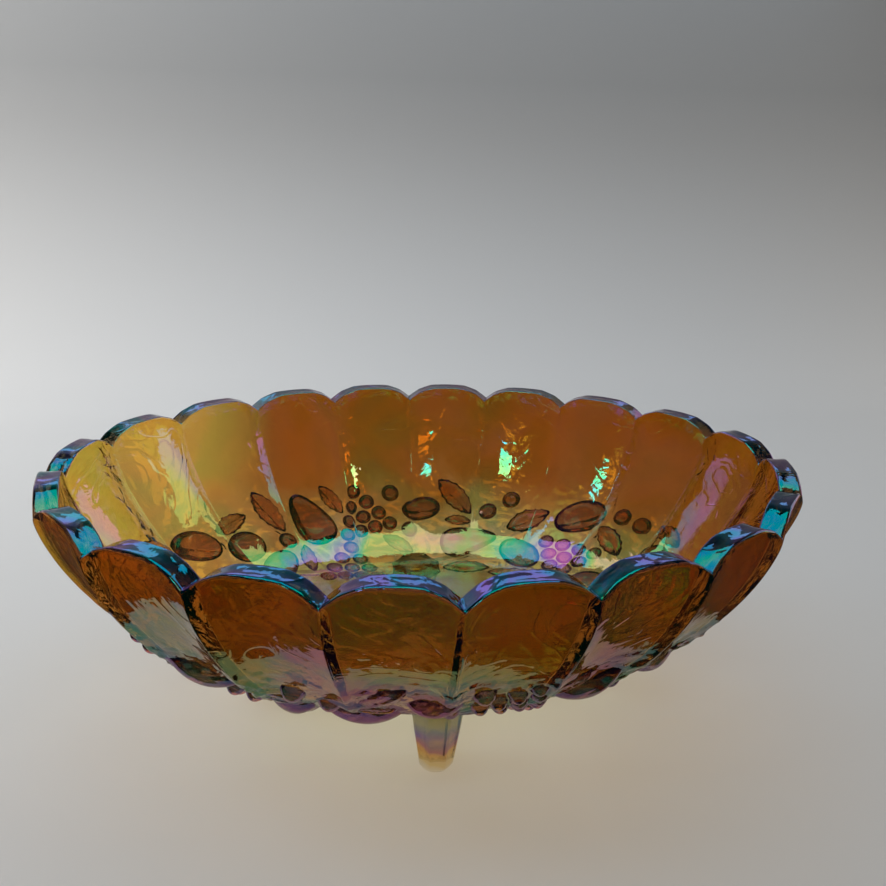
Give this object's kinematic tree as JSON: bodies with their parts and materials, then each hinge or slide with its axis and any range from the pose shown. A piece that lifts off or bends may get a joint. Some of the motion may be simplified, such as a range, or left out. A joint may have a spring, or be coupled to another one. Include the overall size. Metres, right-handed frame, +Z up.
{
  "type": "footed glass fruit bowl",
  "caption": "Oval pressed glass fruit bowl with a scalloped rim, fluted wall, fruit and leaf relief, and peg feet.",
  "frame": {"origin": "under the bowl's middle, on the plane that the four feet stand on", "axes": "+X along the oval's length, -Y towards the side seen first, +Z up"},
  "size_m": [0.3, 0.222, 0.1105],
  "materials": {
    "bowl_glass": "glossy amber glass with an iridescent film",
    "foot_glass": "glossy pale amber glass with an iridescent film",
    "fruit_glass": "glossy amber glass with a violet iridescent film",
    "leaf_glass": "glossy amber glass with a violet iridescent film"
  },
  "bodies": {
    "root": {"bowl_body": "bowl_glass", "foot_front": "foot_glass", "foot_back": "foot_glass", "foot_left": "foot_glass", "foot_right": "foot_glass", "pears_front": "fruit_glass", "pears_back": "fruit_glass", "plums_front": "fruit_glass", "plums_back": "fruit_glass", "apples_front": "fruit_glass", "apples_back": "fruit_glass", "grapes_front": "fruit_glass", "grapes_back": "fruit_glass", "cherries_front": "fruit_glass", "cherries_back": "fruit_glass", "leaves_front": "leaf_glass", "leaves_back": "leaf_glass"}
  },
  "joints": []
}
